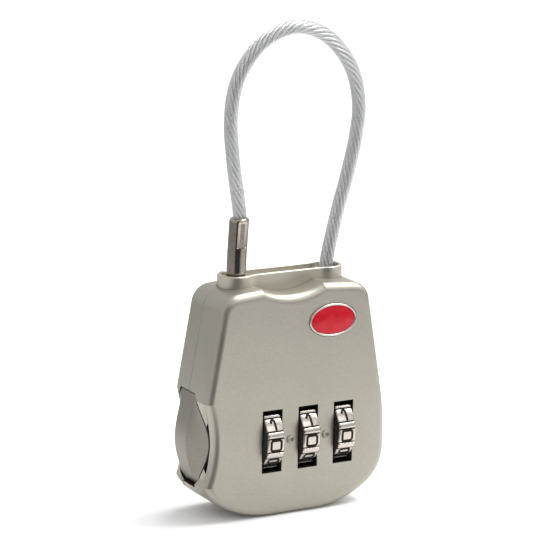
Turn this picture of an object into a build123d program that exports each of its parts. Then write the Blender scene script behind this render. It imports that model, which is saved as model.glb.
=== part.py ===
from build123d import *
import os
from math import cos, pi, radians, sin, tan

# A three-dial cable luggage lock, in millimetres. X runs across the lock, Y from the front to the
# back and Z up. The origin is at the bottom centre of the body, on the plane where the shells meet.

CLEARANCE = 0.05
BEYOND = 20.0

# Body shells
BODY_H = 36.4
FRONT_Y = -6.4
REAR_Y = 4.8
WALL = 1.2
SIDE_WALL = 1.3
FRONT_EDGE_R = 1.3
REAR_EDGE_R = 1.1
CAVITY_FRONT = FRONT_Y + WALL
CAVITY_REAR = REAR_Y - WALL
CAVITY_TOP = 33.2
HALF_WIDTH = 16.6
WIDEST_Z = 11.8
SHOULDER_R = 3.2
CROWN_RISE = radians(4.8)
SEAM_CHAMFER = 0.12
FLANK_R = 38.0
FLANK_LEAN = radians(10)
FOOT_X = 4.0
FOOT_R = 16.5
FOOT_TURN = radians(35.2)

# Dip in the middle of the top edge
DIP_X = -0.6
DIP_Z = 35.5
DIP_R = 11.8

# Raised neck on top, around the plug and the fixed end of the cable
NECK_TOP = 38.4
PLUG_X = -7.7
ANCHOR_X = 8.5
LOBE_R = 2.9
NECK_BAR_HALF = 2.1
NECK_END_R = 2.6
NECK_RIM = 0.6
NECK_BLEND_R = 2.5
NECK_EDGE_R = 0.22
NECK_POCKET = 0.9
FLANGE_Z = (31.7, CAVITY_TOP)
FLANGE_X = (-10.8, 9.6)
FLANGE_Y = (-4.0, 3.5)
GUIDE_R = 2.6
GUIDE_BOTTOM = 29.6

# Dials
DIAL_R = 5.5
DIAL_BASE_R = 5.3
DIAL_WIDTH = 3.1
DIAL_TURN = 3.5
DIAL_CHAMFER = 0.15
DIAL_PITCH = 6.42
DIAL_MIDDLE_X = 2.22
DIAL_Y = -2.5
DIAL_Z = 12.37
DIGITS = 10
DIGIT_ANGLE = 360 / DIGITS
BAR_WIDTH = 0.5
KEY_SLOT_WIDTH = 0.6
WINDOW_WIDTH = 3.54
WINDOW_Z = (7.29, 17.44)
DIMPLE_R = 0.7
DIMPLE_DEPTH = 0.25

# Sleeves, which carry the dials on the spindle
SPINDLE_R = 0.85
SPINDLE_X = (-7.9, 14.1)
SLEEVE_R = 1.65
SLEEVE_LUG_R = 2.05
LUG_WIDTH = 0.5
SLEEVE_X = (-1.85, 4.47)
DISC_X = (2.3, 2.8)
DISC_R = 2.6
NOTCH_HALF = 0.65
NOTCH_BOTTOM = 1.75

# Release button and the latch slide behind it
TRAVEL = 2.2
BUTTON_Z = (5.35, 20.25)
BUTTON_Y = (-5.1, 3.5)
BUTTON_TOP_Y = (-1.9, 2.6)
BUTTON_BOTTOM_Y = (-2.0, 2.4)
BUTTON_INNER_X = -13.2
FLAT_Y = (-1.7, 2.1)
BITE_R = 18.85
BITE_X = -33.5
BITE_Z = 12.9
REAR_BITE = [(-15.85, 20.3), (-14.35, 12.0), (-14.5, 4.2)]
RIDGE_EDGE = 0.2
FLANK_INSET = 0.03
BUTTON_SIDE = [(-15.25, 21.75), (-16.55, 16.1), (-17.0, 12.3), (-16.2, 8.4), (-13.6, 3.85)]
PRESS_FLANGE_X = (BUTTON_INNER_X, -12.6)
PRESS_FLANGE_Z = (4.9, 21.8)
OPENING_GAP = 0.2
SLIDE_Y = (2.2, 3.2)
SLIDE_Z = (15.9, 18.5)
SLIDE_FOOT = 0.8
SLIDE_FOOT_Y = -1.0
FINGER_X = (1.65, 2.15)
FINGER_ARM_Z = (15.9, 17.1)
FINGER_TIP_Z = 14.27
FINGER_HALF = 0.5
ARM_X = (-11.0, -5.4)
SHELF_Z = (28.2, 29.0)
SHELF_Y = (-2.6, 3.2)
SHELF_LEFT = 1.1
SHELF_RIGHT = 1.6
SLOT_GAP = 0.15
LATCH_BITE = 0.4

# Plug on the free end of the cable
PLUG_R = 1.56
PLUG_Z = (24.5, 47.2)
GROOVE_R = 0.9
GROOVE_Z = (26.9, 29.2)
CRIMP_Z = (42.6, 46.8)
CRIMP_Y = 1.3
PLUG_TIP_CHAMFER = 0.4
PLUG_RIM_CHAMFER = 0.2
PLUG_BORE_BOTTOM = 41.0
EJECTOR_Z = (17.0, 24.0)
EJECTOR_TURNS = 8
CUP_R = 1.4
CUP_PIN_R = 0.8
CUP_PIN_LENGTH = 2.0

# Cable: a steel rope in a clear jacket, split at the crown of the loop
ROPE_R = 0.75
JACKET_INNER_R = 0.78
JACKET_R = 1.1
CROWN = (2.7, 76.4)
SPLIT_GAP = 0.1
FIXED_CURVE = [(ANCHOR_X, 38.4), (12.2, 53.2), (13.9, 62.9), (11.0, 71.8)]
FREE_CURVE = [(-5.0, 73.0), (-8.9, 62.6), (PLUG_X, PLUG_Z[1])]
FIXED_START = (0.12, 0, 1)
ROPE_END_GAP = 0.5
ANCHOR_Z = (26.5, 31.7)
ANCHOR_R = 1.7

# Key cylinder in the back
KEY_X = 1.8
KEY_Z = 25.2
BARREL_R = 3.4
BARREL_Y = (-3.4, 4.7)
BARREL_BOSS = 0.8
BARREL_BOSS_Y = 0.5
CORE_R = 2.5
CORE_BACK = 4.6
STUB_R = 1.0
STUB_FRONT = -4.95
CAM_Y = (-4.3, -3.5)
CAM_R = 2.0
CAM_ARM_HALF = 0.9
CAM_ARM = 3.2
CLIP_Y = (-4.75, -4.45)
CLIP_R = 1.8
CLIP_OPENING = 1.0
KEYWAY = (0.7, 3.4)
WAFER = (1.7, 0.4, 4.4)
WAFER_PITCH = 1.4
WAFER_COUNT = 4
WAFER_FIRST_Y = -1.6

# Fixings and springs
RIVETS = [(-12.3, 24.0), (11.9, 27.5), (-9.0, 4.2), (12.2, 5.8)]
RIVET_R = 0.6
RIVET_HEAD_R = 1.0
RIVET_HEAD = 0.5
RIVET_TIP_Y = -4.0
BOSS_R = 1.1
WIRE_R = 0.2
BUTTON_SPRING_X = (-13.3, -9.0)
BUTTON_SPRING_TURNS = 5
BUTTON_SPRING_Y = -0.9
BUTTON_SPRING_Z = 10.5
SPRING_R = 1.2
SPRING_POCKET_R = 1.55
SPRING_POCKET_X = -15.6
RESET_X = (14.75, 16.2)
RESET_FLANGE_X = (14.85, 15.15)
RESET_R = 0.9
RESET_FLANGE_R = 1.4
DETENT_X = (-6.0, 10.8)
DETENT_Y = (CAVITY_FRONT + 0.1, 0.6)
DETENT_Z = (3.3, 3.6)
ARCH_R = 2.6
ARCH_WIDTH = 2.2

# Supports in the front shell, each as ranges along x, y and z
SPRING_BLOCK = ((-9.0, -6.15), (CAVITY_FRONT, 0.6), (8.6, 15.4))
EJECTOR_SEAT = ((-9.4, -5.95), (CAVITY_FRONT, 1.8), (15.4, EJECTOR_Z[0]))
SPINDLE_END = ((13.2, 14.2), (CAVITY_FRONT, -0.9), (9.9, 14.9))
DETENT_RIBS = (-5.5, 8.5)
RIB_WIDTH = 1.0
RIB_BOTTOM = 1.6

# Enamel inlay
INLAY_X = 6.35
INLAY_Z = 30.9
INLAY_RX = 4.3
INLAY_RZ = 2.7
INLAY_DEPTH = 0.4
INLAY_PROUD = 0.1


def front_plane(y):
    """A plane that faces the front at this depth, with x to the right and z up."""
    return Plane(origin=(0, y, 0), x_dir=(1, 0, 0), z_dir=(0, -1, 0))


def side_plane(x):
    """A plane across the lock at this x, with y to the right and z up."""
    return Plane(origin=(x, 0, 0), x_dir=(0, 1, 0), z_dir=(1, 0, 0))


def depth_prism(outline, y):
    """Extrude an x-z outline over a range of depths."""
    return extrude(front_plane(y[1]) * outline, amount=y[1] - y[0])


def block(x, y, z):
    """A box given by its ranges along x, y and z."""
    size = [high - low for low, high in (x, y, z)]
    middle = [(high + low) / 2 for low, high in (x, y, z)]
    return Pos(*middle) * Box(*size)


def rod_x(x, y, z, radius):
    """A round rod along X over a range of x."""
    return Pos(sum(x) / 2, y, z) * Rot(0, 90, 0) * Cylinder(radius, x[1] - x[0])


def rod_y(x, y, z, radius):
    """A round rod along Y over a range of y."""
    return Pos(x, sum(y) / 2, z) * Rot(90, 0, 0) * Cylinder(radius, y[1] - y[0])


def rod_z(x, y, z, radius):
    """A round rod along Z over a range of z."""
    return Pos(x, y, sum(z) / 2) * Cylinder(radius, z[1] - z[0])


def dial_centres():
    """The x positions of the left, centre and right dials."""
    return [DIAL_MIDDLE_X + step * DIAL_PITCH for step in (-1, 0, 1)]


def around(centre, radius, start, end):
    """An arc about a centre between two angles, in radians from straight right."""
    points = []
    for angle in (start, (start + end) / 2, end):
        points.append((centre[0] + radius * cos(angle), centre[1] + radius * sin(angle)))
    return ThreePointArc(*points)


def body_outline():
    """The handbag-shaped outline: narrow shoulders, a low crown, widest low down, a flat foot."""
    foot = around((FOOT_X, FOOT_R), FOOT_R, -pi / 2, FOOT_TURN - pi / 2)
    joint = foot @ 1
    corner_r = (HALF_WIDTH - joint.X) / (1 - sin(FOOT_TURN))
    corner_centre = (HALF_WIDTH - corner_r, joint.Y + corner_r * cos(FOOT_TURN))
    corner = around(corner_centre, corner_r, FOOT_TURN - pi / 2, 0)
    flank = around((HALF_WIDTH - FLANK_R, WIDEST_Z), FLANK_R, 0, FLANK_LEAN)
    shoulder_z = BODY_H - SHOULDER_R
    straight = shoulder_z + SHOULDER_R * sin(FLANK_LEAN) - (flank @ 1).Y
    shoulder_x = (flank @ 1).X - straight * tan(FLANK_LEAN) - SHOULDER_R * cos(FLANK_LEAN)
    shoulder = around((shoulder_x, shoulder_z), SHOULDER_R, FLANK_LEAN, pi / 2 - CROWN_RISE)
    peak = (shoulder @ 1).Y + (shoulder @ 1).X * tan(CROWN_RISE)
    half = [
        Line((0, 0), foot @ 0),
        foot,
        corner,
        Line(corner @ 1, flank @ 0),
        flank,
        Line(flank @ 1, shoulder @ 0),
        shoulder,
        Line(shoulder @ 1, (0, peak)),
    ]
    other_half = [mirror(edge, Plane.YZ) for edge in half]
    return make_face(Curve() + half + other_half)


def shell_outline(at_front):
    """The body outline with the dip in the top edge and the scoop beside the button."""
    dip = Pos(DIP_X, DIP_Z + DIP_R) * Circle(DIP_R)
    scoop = Pos(BITE_X, BITE_Z) * Circle(BITE_R) if at_front else three_point_disc(*REAR_BITE)
    return body_outline() - dip - scoop


def three_point_disc(first, second, third):
    """The disc whose edge passes through three points."""
    arc = ThreePointArc(first, second, third)
    return Pos(arc.arc_center.X, arc.arc_center.Y) * Circle(arc.radius)


def neck_outline(grow=0.0):
    """A round lobe at the plug, then a straight bar that ends round at the cable."""
    length = ANCHOR_X - PLUG_X
    bar = Pos(PLUG_X + length / 2, 0) * Rectangle(length, 2 * (NECK_BAR_HALF + grow))
    lobe = Pos(PLUG_X, 0) * Circle(LOBE_R + grow)
    end = Pos(ANCHOR_X, 0) * Circle(NECK_END_R + grow)
    outline = bar + lobe + end
    return fillet(outline.vertices(), NECK_BLEND_R)


def neck_prism(z, grow=0.0):
    """The neck outline raised over a range of z."""
    return Pos(0, 0, z[0]) * extrude(neck_outline(grow), amount=z[1] - z[0])


def button_lens(grow=0.0):
    """The button's outline seen from the side: flat ends and bulging front and back edges."""
    (bottom, top), middle = BUTTON_Z, sum(BUTTON_Z) / 2
    front = ThreePointArc((BUTTON_TOP_Y[0], top), (BUTTON_Y[0], middle), (BUTTON_BOTTOM_Y[0], bottom))
    back = ThreePointArc((BUTTON_BOTTOM_Y[1], bottom), (BUTTON_Y[1], middle), (BUTTON_TOP_Y[1], top))
    outline = make_face(Curve() + [front, Line(front @ 1, back @ 0), back, Line(back @ 1, front @ 0)])
    outline = offset(outline, grow, kind=Kind.INTERSECTION) if grow else outline
    return extrude(side_plane(-BEYOND) * outline, amount=BEYOND + BUTTON_INNER_X + 1)


def hollow_shell(y, face_at_front):
    """One shell as a rounded solid with the cavity, the neck hole and the button opening cut."""
    shell = depth_prism(shell_outline(face_at_front), y)
    faces = shell.faces().sort_by(Axis.Y)
    outer_face, edge_r = (faces[0], FRONT_EDGE_R) if face_at_front else (faces[-1], REAR_EDGE_R)
    shell = fillet(outer_face.outer_wire().edges(), edge_r)
    seam_face = shell.faces().sort_by(Axis.Y)[-1 if face_at_front else 0]
    shell = chamfer(seam_face.outer_wire().edges(), SEAM_CHAMFER)
    inside = offset(body_outline(), -SIDE_WALL)
    cavity = depth_prism(inside, (CAVITY_FRONT, CAVITY_REAR))
    cavity -= block((-BEYOND, BEYOND), (FRONT_Y, REAR_Y), (CAVITY_TOP, CAVITY_TOP + BEYOND))
    shell += shell_flank(y)
    shell -= cavity
    shell -= neck_prism((CAVITY_TOP - 1, NECK_TOP), CLEARANCE)
    return shell - button_lens(OPENING_GAP)


def shell_flank(y):
    """The shell's side beside the button, following the same lens-shaped chamfers."""
    flank = depth_prism(offset(body_outline(), -FLANK_INSET), (CAVITY_FRONT, CAVITY_REAR))
    depth = (max(y[0], CAVITY_FRONT), min(y[1], CAVITY_REAR))
    flank &= block((-BEYOND, BUTTON_INNER_X - 1), depth, (BUTTON_Z[0] - 1, BUTTON_Z[1] + 1))
    return flank - side_chamfers()


def rivet_bosses(y, through):
    """Bosses for the rivets over a range of y, and the holes that go into them."""
    bosses = Part()
    holes = Part()
    for x, z in RIVETS:
        bosses += rod_y(x, y, z, BOSS_R)
        holes += rod_y(x, through, z, RIVET_R + CLEARANCE)
    return bosses, holes


def front_supports():
    """The blocks in the front shell that hold the spindle, both springs and the detent spring."""
    supports = Part()
    for ranges in (SPRING_BLOCK, EJECTOR_SEAT, SPINDLE_END):
        supports += block(*ranges)
    for x in DETENT_RIBS:
        supports += block((x, x + RIB_WIDTH), (CAVITY_FRONT, 0), (RIB_BOTTOM, DETENT_Z[0]))
    return supports


def front_housing():
    """The thick front shell, with windows for the dials and a pocket for the inlay."""
    shell = hollow_shell((FRONT_Y, 0), True)
    bosses, holes = rivet_bosses((CAVITY_FRONT, 0), (RIVET_TIP_Y, 0))
    shell += bosses + front_supports()
    shell -= holes
    shell -= rod_x((SPINDLE_X[0] - CLEARANCE, RESET_FLANGE_X[1]), DIAL_Y, DIAL_Z, SPINDLE_R + CLEARANCE)
    shell -= rod_x((RESET_FLANGE_X[0], BEYOND), DIAL_Y, DIAL_Z, RESET_R + CLEARANCE)
    for x in dial_centres():
        window_x = (x - WINDOW_WIDTH / 2, x + WINDOW_WIDTH / 2)
        shell -= block(window_x, (FRONT_Y - 1, CAVITY_FRONT), WINDOW_Z)
    for side in (-0.5, 0.5):
        x = DIAL_MIDDLE_X + side * DIAL_PITCH
        sphere_r = (DIMPLE_R**2 + DIMPLE_DEPTH**2) / (2 * DIMPLE_DEPTH)
        shell -= Pos(x, FRONT_Y + DIMPLE_DEPTH - sphere_r, DIAL_Z) * Sphere(sphere_r)
    pocket = Pos(INLAY_X, INLAY_Z) * Ellipse(INLAY_RX + CLEARANCE, INLAY_RZ + CLEARANCE)
    return shell - depth_prism(pocket, (FRONT_Y - 1, FRONT_Y + INLAY_DEPTH))


def rear_housing():
    """The thin rear shell, with the hole for the key cylinder and seats for the rivet heads."""
    shell = hollow_shell((0, REAR_Y), False)
    bosses, holes = rivet_bosses((0, CAVITY_REAR), (0, REAR_Y))
    shell += bosses
    shell += rod_y(KEY_X, (BARREL_BOSS_Y, CAVITY_REAR), KEY_Z, BARREL_R + BARREL_BOSS)
    shell -= holes
    shell -= rod_y(KEY_X, (0, REAR_Y + 1), KEY_Z, BARREL_R + CLEARANCE)
    for x, z in RIVETS:
        shell -= rod_y(x, (REAR_Y - RIVET_HEAD, REAR_Y + 1), z, RIVET_HEAD_R + CLEARANCE)
    return shell


def neck_collar():
    """The raised neck with its rim and pocket, its flange under the top wall and the plug guide."""
    collar = neck_prism((CAVITY_TOP, NECK_TOP))
    collar -= neck_prism((NECK_TOP - NECK_POCKET, NECK_TOP + 1), -NECK_RIM)
    collar = fillet(collar.edges().group_by(Axis.Z)[-1], NECK_EDGE_R)
    collar += block(FLANGE_X, FLANGE_Y, FLANGE_Z)
    collar += rod_z(PLUG_X, 0, (GUIDE_BOTTOM, FLANGE_Z[0]), GUIDE_R)
    collar -= rod_z(PLUG_X, 0, (GUIDE_BOTTOM - 1, NECK_TOP), PLUG_R + CLEARANCE)
    return collar - rod_z(ANCHOR_X, 0, (FLANGE_Z[0] - 1, NECK_TOP), JACKET_R + CLEARANCE)


def enamel_inlay():
    """A plain oval enamel plate in the front face."""
    oval = Pos(INLAY_X, INLAY_Z) * Ellipse(INLAY_RX, INLAY_RZ)
    return depth_prism(oval, (FRONT_Y - INLAY_PROUD, FRONT_Y + INLAY_DEPTH))


def fixed_path():
    """The centre line from the anchor, up through the neck and round to the crown."""
    straight = Line((ANCHOR_X, 0, ANCHOR_Z[0] + ROPE_END_GAP), (ANCHOR_X, 0, FIXED_CURVE[0][1]))
    points = [(x, 0, z) for x, z in FIXED_CURVE]
    points.append((CROWN[0] + SPLIT_GAP / 2, 0, CROWN[1]))
    return Curve() + [straight, Spline(points, tangents=(FIXED_START, (-1, 0, 0)))]


def free_path():
    """The centre line from the crown down into the bore of the plug."""
    points = [(CROWN[0] - SPLIT_GAP / 2, 0, CROWN[1])]
    points += [(x, 0, z) for x, z in FREE_CURVE]
    straight = Line((PLUG_X, 0, PLUG_Z[1]), (PLUG_X, 0, PLUG_BORE_BOTTOM + 0.2))
    return Curve() + [Spline(points, tangents=((-1, 0, 0), (0, 0, -1))), straight]


def along(path, radius, inner=0.0):
    """A rod, or a tube with this inner radius, that follows a path."""
    section = Circle(radius)
    if inner:
        section -= Circle(inner)
    start = Plane(origin=path @ 0, z_dir=path % 0)
    return sweep(start * section, path=path)


def plug_ferrule():
    """The round plug on the cable's free end: latch groove, chamfered rims and crimped flats."""
    plug = rod_z(PLUG_X, 0, PLUG_Z, PLUG_R)
    plug = chamfer(plug.edges().group_by(Axis.Z)[0], PLUG_TIP_CHAMFER)
    plug = chamfer(plug.edges().group_by(Axis.Z)[-1], PLUG_RIM_CHAMFER)
    plug -= rod_z(PLUG_X, 0, GROOVE_Z, PLUG_R + 1) - rod_z(PLUG_X, 0, GROOVE_Z, GROOVE_R)
    for side in (-1, 1):
        flat = sorted((side * CRIMP_Y, side * (PLUG_R + 1)))
        plug -= block((PLUG_X - PLUG_R, PLUG_X + PLUG_R), flat, CRIMP_Z)
    return plug - rod_z(PLUG_X, 0, (PLUG_BORE_BOTTOM, PLUG_Z[1] + 1), JACKET_R + CLEARANCE / 2)


def anchor_ferrule():
    """The sleeve crimped on the fixed end of the cable, under the neck's flange."""
    tube = rod_z(ANCHOR_X, 0, ANCHOR_Z, ANCHOR_R)
    return tube - rod_z(ANCHOR_X, 0, ANCHOR_Z, JACKET_R + CLEARANCE / 2)


def chamfer_cutter(y_ridge, y_edge):
    """What the button loses between the ridge of its side face and the arc at the shell's edge."""
    ridge = Spline(BUTTON_SIDE)
    high = BUTTON_SIDE[0][1]
    low = BUTTON_SIDE[-1][1]

    def closed(curve):
        bottom = Line(curve @ 1, (-BEYOND, low))
        left = Line((-BEYOND, low), (-BEYOND, high))
        top = Line((-BEYOND, high), curve @ 0)
        return make_face(Curve() + [curve, bottom, left, top])

    def scoop_x(z):
        return BITE_X + (BITE_R**2 - (z - BITE_Z) ** 2) ** 0.5

    arc = ThreePointArc((scoop_x(high), high), (scoop_x(BITE_Z), BITE_Z), (scoop_x(low), low))
    sections = [front_plane(y_ridge) * closed(ridge), front_plane(y_edge) * closed(arc)]
    return loft(sections, ruled=True)


def side_chamfers():
    """Both lens-shaped chamfers, in front of and behind the flat middle of the button."""
    front = chamfer_cutter(FLAT_Y[0], BUTTON_Y[0] - RIDGE_EDGE)
    return front + chamfer_cutter(FLAT_Y[1], BUTTON_Y[1] + RIDGE_EDGE)


def release_button():
    """The side button: a curved outer face with lens-shaped chamfers, and a stop flange inside."""
    side = Spline(BUTTON_SIDE)
    inner_top = (BUTTON_INNER_X, BUTTON_SIDE[0][1])
    inner_bottom = (BUTTON_INNER_X, BUTTON_SIDE[-1][1])
    edges = [side, Line(side @ 1, inner_bottom), Line(inner_bottom, inner_top), Line(inner_top, side @ 0)]
    button = depth_prism(make_face(Curve() + edges), (FRONT_Y, REAR_Y))
    button -= side_chamfers()
    button &= button_lens()
    button += block(PRESS_FLANGE_X, BUTTON_Y, PRESS_FLANGE_Z)
    pocket_x = (SPRING_POCKET_X, PRESS_FLANGE_X[1])
    return button - rod_x(pocket_x, BUTTON_SPRING_Y, BUTTON_SPRING_Z, SPRING_POCKET_R)


def latch_slide():
    """The stamped slide: fingers for the sleeves, and a slotted shelf that bites the plug."""
    right_end = dial_centres()[-1] + FINGER_X[1]
    slide = block((PRESS_FLANGE_X[1], right_end), SLIDE_Y, SLIDE_Z)
    foot_x = (PRESS_FLANGE_X[1], PRESS_FLANGE_X[1] + SLIDE_FOOT)
    slide += block(foot_x, (SLIDE_FOOT_Y, SLIDE_Y[1]), SLIDE_Z)
    for x in dial_centres():
        finger_x = (x + FINGER_X[0], x + FINGER_X[1])
        tip_y = (DIAL_Y - FINGER_HALF, DIAL_Y + FINGER_HALF)
        slide += block(finger_x, (tip_y[0], SLIDE_Y[0]), FINGER_ARM_Z)
        slide += block(finger_x, tip_y, (FINGER_TIP_Z, FINGER_ARM_Z[0]))
    slide += block(ARM_X, SLIDE_Y, (SLIDE_Z[0], SHELF_Z[1]))
    slot_x = (PLUG_X - PLUG_R - SLOT_GAP - TRAVEL, PLUG_X + PLUG_R - LATCH_BITE)
    slot_half = PLUG_R + SLOT_GAP
    slide += block((slot_x[0] - SHELF_LEFT, slot_x[1] + SHELF_RIGHT), SHELF_Y, SHELF_Z)
    return slide - block(slot_x, (-slot_half, slot_half), SHELF_Z)


def dial_ring():
    """One dial about X at the origin: a raised bar between every two digits, keyed bore."""
    ring = rod_x((-DIAL_WIDTH / 2, DIAL_WIDTH / 2), 0, 0, DIAL_BASE_R)
    ring = chamfer(ring.edges(), DIAL_CHAMFER)
    bar_half = DIAL_WIDTH / 2 - DIAL_CHAMFER
    slot_half = KEY_SLOT_WIDTH / 2
    for step in range(DIGITS):
        angle = (step + 0.5) * DIGIT_ANGLE + DIAL_TURN
        bar = block((-bar_half, bar_half), (-DIAL_R, -DIAL_BASE_R + 1), (-BAR_WIDTH / 2, BAR_WIDTH / 2))
        groove = block((-DIAL_WIDTH, DIAL_WIDTH), (0, SLEEVE_LUG_R + CLEARANCE), (-slot_half, slot_half))
        ring += Rot(angle, 0, 0) * bar
        ring -= Rot(step * DIGIT_ANGLE, 0, 0) * groove
    return ring - rod_x((-DIAL_WIDTH, DIAL_WIDTH), 0, 0, SLEEVE_R + CLEARANCE)


def sleeve():
    """One sleeve about X at the origin: two lugs for its dial and a notched gate disc."""
    tube = rod_x(SLEEVE_X, 0, 0, SLEEVE_R)
    for side in (-1, 1):
        lug_y = sorted((0, side * SLEEVE_LUG_R))
        tube += block((-DIAL_WIDTH / 2, DIAL_WIDTH / 2), lug_y, (-LUG_WIDTH / 2, LUG_WIDTH / 2))
    tube += rod_x(DISC_X, 0, 0, DISC_R)
    tube -= block(DISC_X, (-NOTCH_HALF, NOTCH_HALF), (NOTCH_BOTTOM, DISC_R + 1))
    return tube - rod_x((SLEEVE_X[0] - 1, SLEEVE_X[1] + 1), 0, 0, SPINDLE_R + CLEARANCE)


def coil(radius, length, turns):
    """A coil spring about Z that stands on the origin."""
    pitch = (length - 2 * WIRE_R) / turns
    path = Helix(pitch=pitch, height=pitch * turns, radius=radius)
    wire = Plane(origin=path @ 0, z_dir=path % 0) * Circle(WIRE_R)
    return Pos(0, 0, WIRE_R) * sweep(wire, path=path, is_frenet=True)


def button_spring():
    """The return spring between the button and the spring block."""
    length = BUTTON_SPRING_X[1] - BUTTON_SPRING_X[0]
    spring = Rot(0, 90, 0) * coil(SPRING_R, length, BUTTON_SPRING_TURNS)
    return Pos(BUTTON_SPRING_X[0], BUTTON_SPRING_Y, BUTTON_SPRING_Z) * spring


def ejector_spring():
    """The spring that lifts the plug when the latch lets go."""
    return Pos(PLUG_X, 0, EJECTOR_Z[0]) * coil(SPRING_R, EJECTOR_Z[1] - EJECTOR_Z[0], EJECTOR_TURNS)


def ejector_cup():
    """The cup between the ejector spring and the plug."""
    cup = rod_z(PLUG_X, 0, (EJECTOR_Z[1], PLUG_Z[0]), CUP_R)
    return cup + rod_z(PLUG_X, 0, (EJECTOR_Z[1] - CUP_PIN_LENGTH, EJECTOR_Z[1]), CUP_PIN_R)


def detent_spring():
    """A leaf strip with one arch under each dial, so that each digit clicks into place."""
    thickness = DETENT_Z[1] - DETENT_Z[0]
    strip = block(DETENT_X, DETENT_Y, DETENT_Z)
    peak = DIAL_Z - DIAL_R - CLEARANCE
    arch = Pos(DIAL_Y, peak - ARCH_R) * (Circle(ARCH_R) - Circle(ARCH_R - thickness))
    arch &= Pos(DIAL_Y, DETENT_Z[0] + ARCH_R) * Rectangle(3 * ARCH_R, 2 * ARCH_R)
    for x in dial_centres():
        strip += extrude(side_plane(x - ARCH_WIDTH / 2) * arch, amount=ARCH_WIDTH)
    return strip


def key_barrel():
    """The fixed tube of the key cylinder."""
    return rod_y(KEY_X, BARREL_Y, KEY_Z, BARREL_R) - rod_y(KEY_X, BARREL_Y, KEY_Z, CORE_R + CLEARANCE)


def keyway(y):
    """The slot for the key over a range of y."""
    width, height = KEYWAY
    x = (KEY_X - width / 2, KEY_X + width / 2)
    return block(x, y, (KEY_Z - height / 2, KEY_Z + height / 2))


def wafer_places():
    """Where the wafers stand in the key plug."""
    return [(KEY_X, WAFER_FIRST_Y + step * WAFER_PITCH, KEY_Z) for step in range(WAFER_COUNT)]


def key_plug():
    """The turning core with its keyway and slots for the wafers, and a stub for the cam."""
    core = rod_y(KEY_X, (BARREL_Y[0], CORE_BACK), KEY_Z, CORE_R)
    core += rod_y(KEY_X, (STUB_FRONT, BARREL_Y[0]), KEY_Z, STUB_R)
    for place in wafer_places():
        core -= Pos(*place) * Box(*[side + 2 * CLEARANCE for side in WAFER])
    return core - keyway((WAFER_FIRST_Y - 1, CORE_BACK))


def key_wafers():
    """The flat wafers in the key plug, each with an opening for the key."""
    opening = keyway((WAFER_FIRST_Y - 1, CORE_BACK))
    return Compound(children=[Pos(*place) * Box(*WAFER) - opening for place in wafer_places()])


def key_cam():
    """The cam on the inner end of the key plug."""
    cam = rod_y(KEY_X, CAM_Y, KEY_Z, CAM_R)
    cam += block((KEY_X - CAM_ARM_HALF, KEY_X + CAM_ARM_HALF), CAM_Y, (KEY_Z, KEY_Z + CAM_ARM))
    return cam - rod_y(KEY_X, CAM_Y, KEY_Z, STUB_R + CLEARANCE / 2)


def key_clip():
    """The open ring that keeps the cam on its stub."""
    ring = rod_y(KEY_X, CLIP_Y, KEY_Z, CLIP_R) - rod_y(KEY_X, CLIP_Y, KEY_Z, STUB_R + CLEARANCE / 2)
    opening_x = (KEY_X - CLIP_OPENING / 2, KEY_X + CLIP_OPENING / 2)
    return ring - block(opening_x, CLIP_Y, (KEY_Z - BEYOND, KEY_Z))


def reset_plunger():
    """The small recessed plunger in the right side, used to change the code."""
    return rod_x(RESET_X, DIAL_Y, DIAL_Z, RESET_R) + rod_x(RESET_FLANGE_X, DIAL_Y, DIAL_Z, RESET_FLANGE_R)


def housing_rivets():
    """The rivets that hold the shells together, from the back."""
    rivets = []
    for x, z in RIVETS:
        shank = rod_y(x, (RIVET_TIP_Y, REAR_Y), z, RIVET_R)
        rivets.append(shank + rod_y(x, (REAR_Y - RIVET_HEAD, REAR_Y), z, RIVET_HEAD_R))
    return Compound(children=rivets)


def build_parts():
    """Every node of the lock by name."""
    parts = {
        "front_housing": front_housing(),
        "rear_housing": rear_housing(),
        "neck_collar": neck_collar(),
        "enamel_inlay": enamel_inlay(),
        "cable_rope_fixed": along(fixed_path(), ROPE_R),
        "cable_rope_free": along(free_path(), ROPE_R),
        "cable_jacket_fixed": along(fixed_path(), JACKET_R, JACKET_INNER_R),
        "cable_jacket_free": along(free_path(), JACKET_R, JACKET_INNER_R),
        "plug_ferrule": plug_ferrule(),
        "anchor_ferrule": anchor_ferrule(),
        "release_button": release_button(),
        "latch_slide": latch_slide(),
        "button_spring": button_spring(),
        "ejector_spring": ejector_spring(),
        "ejector_cup": ejector_cup(),
        "dial_spindle": rod_x(SPINDLE_X, DIAL_Y, DIAL_Z, SPINDLE_R),
        "detent_spring": detent_spring(),
        "key_barrel": key_barrel(),
        "key_plug": key_plug(),
        "key_wafers": key_wafers(),
        "key_cam": key_cam(),
        "key_clip": key_clip(),
        "reset_plunger": reset_plunger(),
        "housing_rivets": housing_rivets(),
    }
    for name, x in zip(("left", "centre", "right"), dial_centres()):
        parts["dial_" + name] = Pos(x, DIAL_Y, DIAL_Z) * dial_ring()
        parts["sleeve_" + name] = Pos(x, DIAL_Y, DIAL_Z) * sleeve()
    return parts


os.makedirs("parts", exist_ok=True)
for node, shape in build_parts().items():
    export_step(shape, os.path.join("parts", node + ".step"))
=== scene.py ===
import math

import bpy
from mathutils import Matrix, Vector
from mathutils.bvhtree import BVHTree


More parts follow.
